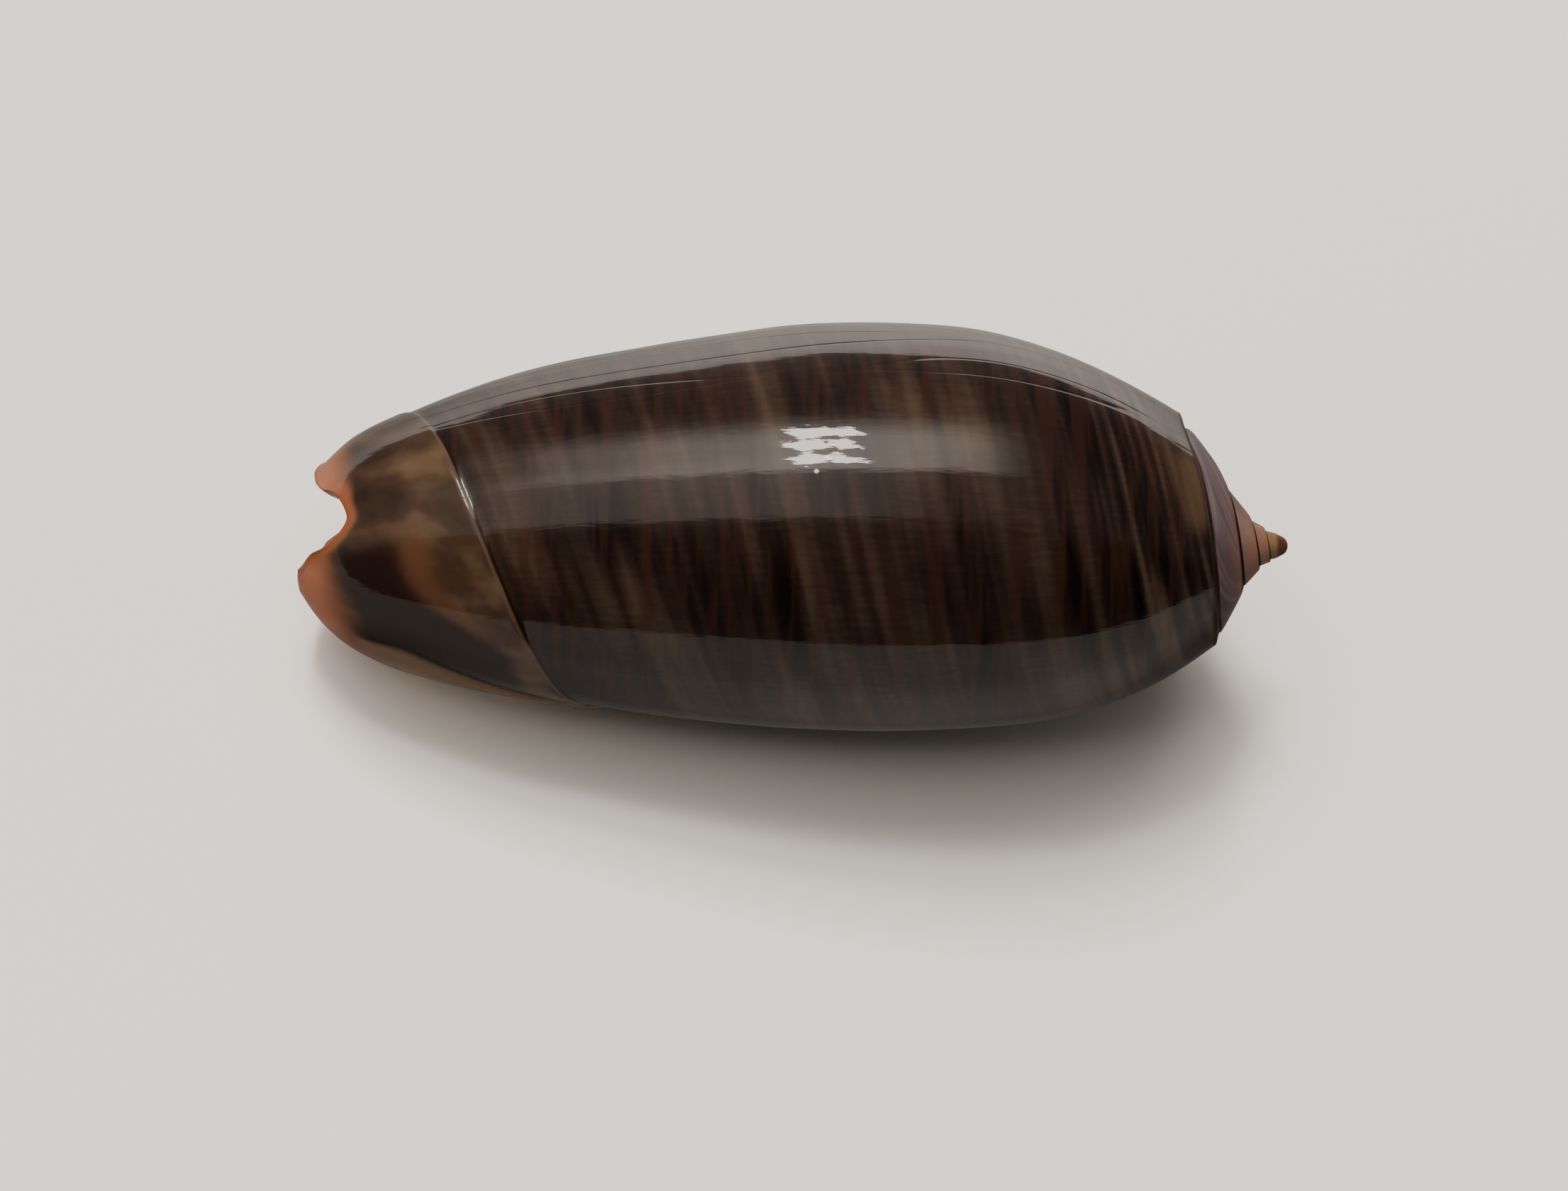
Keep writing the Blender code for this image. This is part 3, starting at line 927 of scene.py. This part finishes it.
    relief = node(
        tree,
        "ShaderNodeMath",
        {0: noises["hair"], 1: 0.22, 2: masks["groove"]},
        operation="MULTIPLY_ADD",
    ).outputs[0]
    bump = node(
        tree, "ShaderNodeBump", {"Strength": 1.0, "Distance": -0.000025, "Height": relief}
    )
    shader = tree.nodes["Principled BSDF"]
    tree.links.new(hue, shader.inputs["Base Color"])
    tree.links.new(bump.outputs[0], shader.inputs["Normal"])
    tree.links.new(bump.outputs[0], shader.inputs["Coat Normal"])
    shader.inputs["Roughness"].default_value = 0.3
    shader.inputs["IOR"].default_value = 1.5
    shader.inputs["Specular IOR Level"].default_value = 0.03
    tree.links.new(polish, shader.inputs["Coat Weight"])
    shader.inputs["Coat IOR"].default_value = 1.28
    shader.inputs["Coat Roughness"].default_value = 0.03
    return material


def make_floor():
    """A plain pale table top, far wider than the view."""
    mesh = bpy.data.meshes.new("floor")
    side = 3.0
    mesh.from_pydata(
        [(-side, -side, 0), (side, -side, 0), (side, side, 0), (-side, side, 0)],
        [],
        [(0, 1, 2, 3)],
    )
    floor = bpy.data.objects.new("floor", mesh)
    bpy.context.scene.collection.objects.link(floor)
    material = bpy.data.materials.new("matt_white_table")
    material.use_nodes = True
    shader = material.node_tree.nodes["Principled BSDF"]
    shader.inputs["Base Color"].default_value = colour("#f4f4f4")
    shader.inputs["Roughness"].default_value = 0.8
    mesh.materials.append(material)


def aim(thing, spot, towards):
    """Puts a lamp at spot, facing towards."""
    spot = Vector(spot)
    thing.location = spot
    thing.rotation_euler = (Vector(towards) - spot).to_track_quat("-Z", "Y").to_euler()


def make_camera():
    """Looks down on the shell's back from its far side, tilted in its own axes."""
    camera = bpy.data.objects.new("camera", bpy.data.cameras.new("camera"))
    bpy.context.scene.collection.objects.link(camera)
    sine, cosine = np.sin(VIEW_TILT), np.cos(VIEW_TILT)
    looked_at = np.array([VIEW_PLACE, -VIEW_DEPTH * sine, -VIEW_DEPTH * cosine])
    spot = looked_at + VIEW_DISTANCE * np.array([0, -cosine, sine])
    origin = Vector(laid(*spot))
    target = Vector(laid(*looked_at))
    right = (Vector(laid(*(looked_at + [1, 0, 0]))) - target).normalized()
    out = (origin - target).normalized()
    up = out.cross(right)
    turned = Matrix((right, up, out)).transposed()
    camera.matrix_world = Matrix.Translation(origin) @ turned.to_4x4()
    camera.data.lens = VIEW_LENS
    camera.data.sensor_width = 36.0
    camera.data.clip_start = 0.01
    bpy.context.scene.camera = camera


def make_pane(width):
    """A pane of the window: its power is the brightness times pi times its area."""
    light = bpy.data.lights.new("pane", "AREA")
    light.shape = "RECTANGLE"
    light.size = width
    light.size_y = PANE_HEIGHT
    light.energy = PANE_BRIGHTNESS * np.pi * width * PANE_HEIGHT
    light.color = LAMP_COLOUR
    pane = bpy.data.objects.new("pane", light)
    bpy.context.scene.collection.objects.link(pane)
    return pane


def make_lights():
    """A window of six panes above the lip's side, and a room that is pale overhead.

    The room's brightness is a strength times smooth steps of the direction: dark
    low down on the camera's side, pale overhead, darker again towards the horizon
    on the lip's side and towards the apex. Two soft patches are added to it, the
    glow about the window and a paler stretch of ceiling, each a strength times
    four steps. A step goes from least at low to 1 at high.
    """
    world = bpy.data.worlds.new("room")
    bpy.context.scene.world = world
    world.use_nodes = True
    tree = world.node_tree
    way = node(tree, "ShaderNodeTexCoord").outputs["Generated"]
    along, over, _ = node(tree, "ShaderNodeSeparateXYZ", {0: way}).outputs
    bright = 0.0
    for strength, steps in (
        (
            0.6,
            (
                (over, -0.4, -0.2, 0.08),
                (over, 0.8, 0.2, 0.4),
                (along, 0.55, 0.15, 0.35),
            ),
        ),
        (
            6.5,
            (
                (over, 0.15, 0.22, 0),
                (over, 0.72, 0.45, 0),
                (along, -0.7, -0.25, 0),
                (along, 0.36, 0.02, 0),
            ),
        ),
        (
            2.0,
            (
                (over, -0.3, -0.24, 0),
                (over, 0.4, 0.2, 0),
                (along, -0.85, -0.5, 0),
                (along, 0.05, -0.25, 0),
            ),
        ),
    ):
        part = strength
        for value, low, high, least in steps:
            step = node(
                tree,
                "ShaderNodeMapRange",
                {0: value, 1: low, 2: high, 3: float(least), 4: 1.0},
                interpolation_type="SMOOTHSTEP",
            ).outputs[0]
            part = node(
                tree, "ShaderNodeMath", {0: part, 1: step}, operation="MULTIPLY"
            ).outputs[0]
        bright = node(
            tree, "ShaderNodeMath", {0: bright, 1: part}, operation="ADD"
        ).outputs[0]
    tree.links.new(bright, tree.nodes["Background"].inputs["Strength"])
    tree.nodes["Background"].inputs["Color"].default_value = (1.0, 0.9, 0.79, 1)

    upward = np.cross(WINDOW_SIDE, WINDOW_WAY)
    for row in (-1, 0, 1):
        for column, width in PANE_COLUMNS:
            spot = WINDOW_DISTANCE * WINDOW_WAY + column * WINDOW_SIDE
            spot = spot + PANE_SPACING * row * upward
            aim(make_pane(width), spot.tolist(), (0, 0, 0.01))


def make_reflector():
    """A glowing sheet on the floor that shows in the shell's gloss alone.

    Its brightness is a curve of the place across the shell: dark below it, dim on
    the camera's side and pale behind, where it makes the strip along the top.
    """
    points = [(side, y, 0.0003) for y in REFLECTOR_PLACES for side in (-1.0, 1.0)]
    strips = range(len(REFLECTOR_PLACES) - 1)
    faces = [(2 * i, 2 * i + 1, 2 * i + 3, 2 * i + 2) for i in strips]
    mesh = bpy.data.meshes.new("reflector")
    mesh.from_pydata(points, [], faces)
    mesh.attributes.new("brightness", "FLOAT", "POINT").data.foreach_set(
        "value", np.repeat(REFLECTOR_BRIGHTNESS, 2)
    )
    material = bpy.data.materials.new("reflector_sheet")
    material.use_nodes = True
    tree = material.node_tree
    shader = tree.nodes["Principled BSDF"]
    shader.inputs["Base Color"].default_value = colour("#000000")
    shader.inputs["Emission Color"].default_value = (*LAMP_COLOUR, 1.0)
    glow = node(tree, "ShaderNodeAttribute", attribute_name="brightness").outputs["Fac"]
    tree.links.new(glow, shader.inputs["Emission Strength"])
    mesh.materials.append(material)
    sheet = bpy.data.objects.new("reflector", mesh)
    bpy.context.scene.collection.objects.link(sheet)
    sheet.visible_camera = False
    sheet.visible_diffuse = False
    sheet.visible_transmission = False
    sheet.visible_shadow = False


shell = make_shell()
shell.data.materials.append(porcellaneous_shell())
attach(shell, "root")
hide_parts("shell")
make_floor()
make_camera()
make_lights()
make_reflector()
